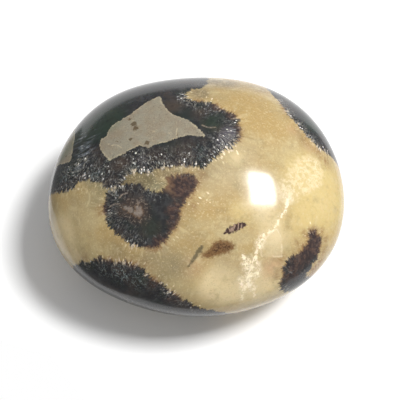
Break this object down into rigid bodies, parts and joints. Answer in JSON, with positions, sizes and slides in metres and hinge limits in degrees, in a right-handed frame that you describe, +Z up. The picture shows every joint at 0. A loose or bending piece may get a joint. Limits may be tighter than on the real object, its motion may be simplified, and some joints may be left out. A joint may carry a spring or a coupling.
{
  "type": "septarian pebble",
  "caption": "Polished septarian pebble: a smooth, thick, rounded oval of banded stone that lies steady on a small worn flat.",
  "frame": {"origin": "on the resting face's plane, under the centre of the stone's box", "axes": "+X along the stone's length, +Y along its width, +Z straight up from the resting face through the thickness"},
  "size_m": [0.064, 0.056, 0.034],
  "materials": {
    "septarian_stone": "high polish"
  },
  "bodies": {
    "root": {"pebble": "septarian_stone"}
  },
  "joints": []
}
